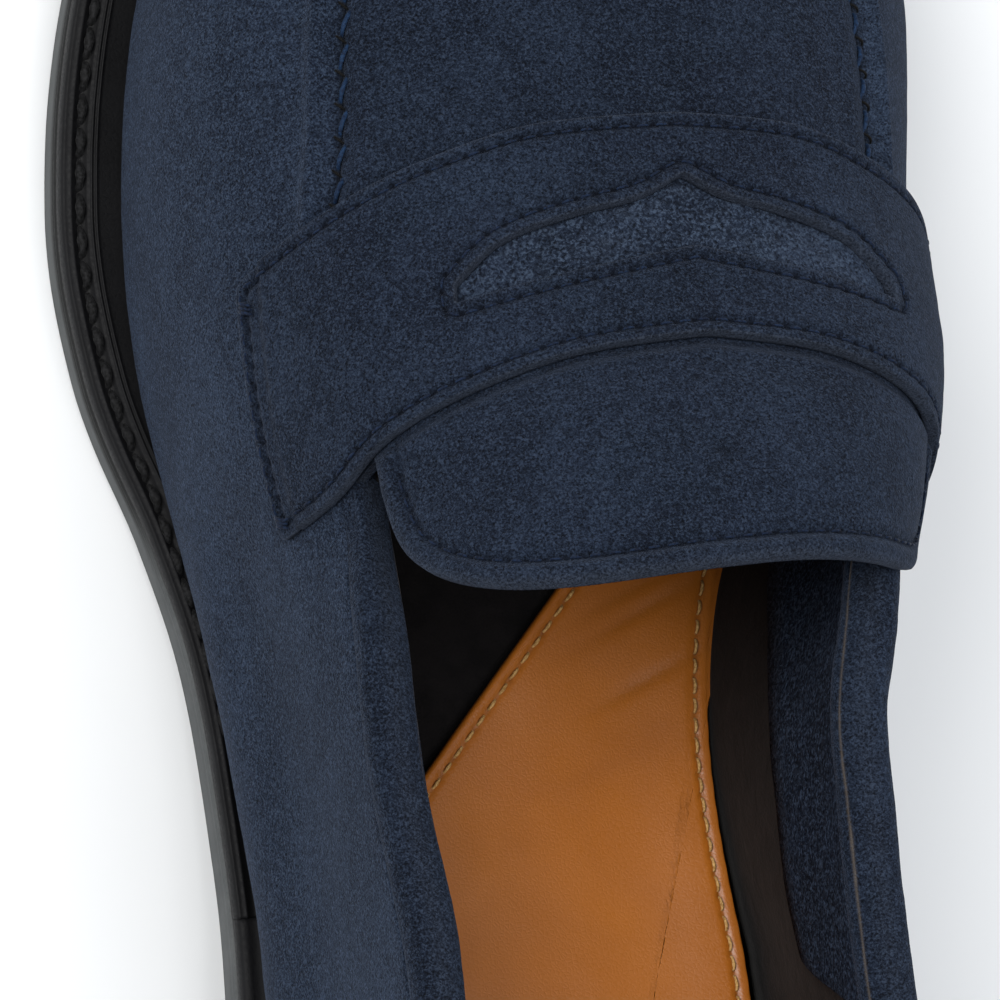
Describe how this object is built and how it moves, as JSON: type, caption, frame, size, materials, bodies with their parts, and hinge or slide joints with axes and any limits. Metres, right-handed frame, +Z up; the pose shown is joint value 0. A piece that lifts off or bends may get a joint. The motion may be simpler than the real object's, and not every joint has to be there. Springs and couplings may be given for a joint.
{
  "type": "penny loafer",
  "caption": "Left penny loafer in navy suede: moc-seam apron, saddle strap with a coin window, lifting tongue, welted sole and stacked heel.",
  "frame": {"origin": "bottom centre of the bounding box: the tread and the top piece stand on z = 0, midway along and across the shoe", "axes": "+Z up, +Y from toe to heel along the shoe, +X to the lateral (outer) side of this left shoe"},
  "size_m": [0.111, 0.3006, 0.0951],
  "materials": {
    "suede_navy": "napped suede, matt",
    "suede_inside": "open flesh side of the suede, matt and fluffy",
    "leather_black": "black edge-dyed leather, satin",
    "leather_tan": "vegetable-tanned sock leather, satin",
    "textile_black": "black woven lining",
    "sole_grey": "grey rubber, matt",
    "heel_stack": "stacked leather lifts, dyed black, satin",
    "cork": "granulated cork, matt",
    "steel": "spring steel",
    "brass": "brass-coated nails",
    "board": "fibre and insole leather, matt",
    "foam": "latex foam sheet",
    "thread_black": "waxed thread",
    "thread_blue": "polyester thread",
    "thread_cream": "polyester thread"
  },
  "bodies": {
    "shoe": {"outsole": "sole_grey", "top_piece": "leather_black", "heel_lift_1": "heel_stack", "heel_lift_2": "heel_stack", "heel_lift_3": "heel_stack", "welt": "leather_black", "heel_rand": "leather_black", "insole": "board", "insole_rib": "board", "cork_filler": "cork", "shank": "steel", "sock_foam": "foam", "sock_lining": "leather_tan", "forepart_sock": "textile_black", "upper_wall": "suede_navy", "apron": "suede_navy", "saddle_strap": "suede_navy", "strap_backing": "suede_inside", "back_strip": "suede_navy", "collar_binding": "suede_navy", "collar_facing_lateral": "suede_inside", "collar_facing_medial": "suede_inside", "quarter_lining_lateral": "textile_black", "quarter_lining_medial": "textile_black", "vamp_lining": "textile_black", "apron_lining": "textile_black", "heel_counter": "board", "toe_puff": "board", "welt_thread": "thread_black", "apron_thread": "thread_blue", "strap_thread": "thread_blue", "window_thread": "thread_blue", "collar_thread": "thread_blue", "sock_thread": "thread_cream", "heel_nail_1": "brass", "heel_nail_2": "brass", "heel_nail_3": "brass", "heel_nail_4": "brass", "heel_nail_5": "brass", "top_piece_tack_1": "steel", "top_piece_tack_2": "steel", "top_piece_tack_3": "steel", "top_piece_tack_4": "steel", "top_piece_tack_5": "steel"},
    "tongue": {"tongue": "suede_navy", "tongue_lining": "leather_black", "tongue_thread": "thread_blue"}
  },
  "joints": [
    {"name": "tongue_lift", "type": "hinge", "parent": "shoe", "child": "tongue", "pos_m": [0, -0.0353, 0.0715], "axis": [1, 0, 0], "range_deg": [0, 25], "stiffness_Nm_per_rad": 0.15}
  ]
}
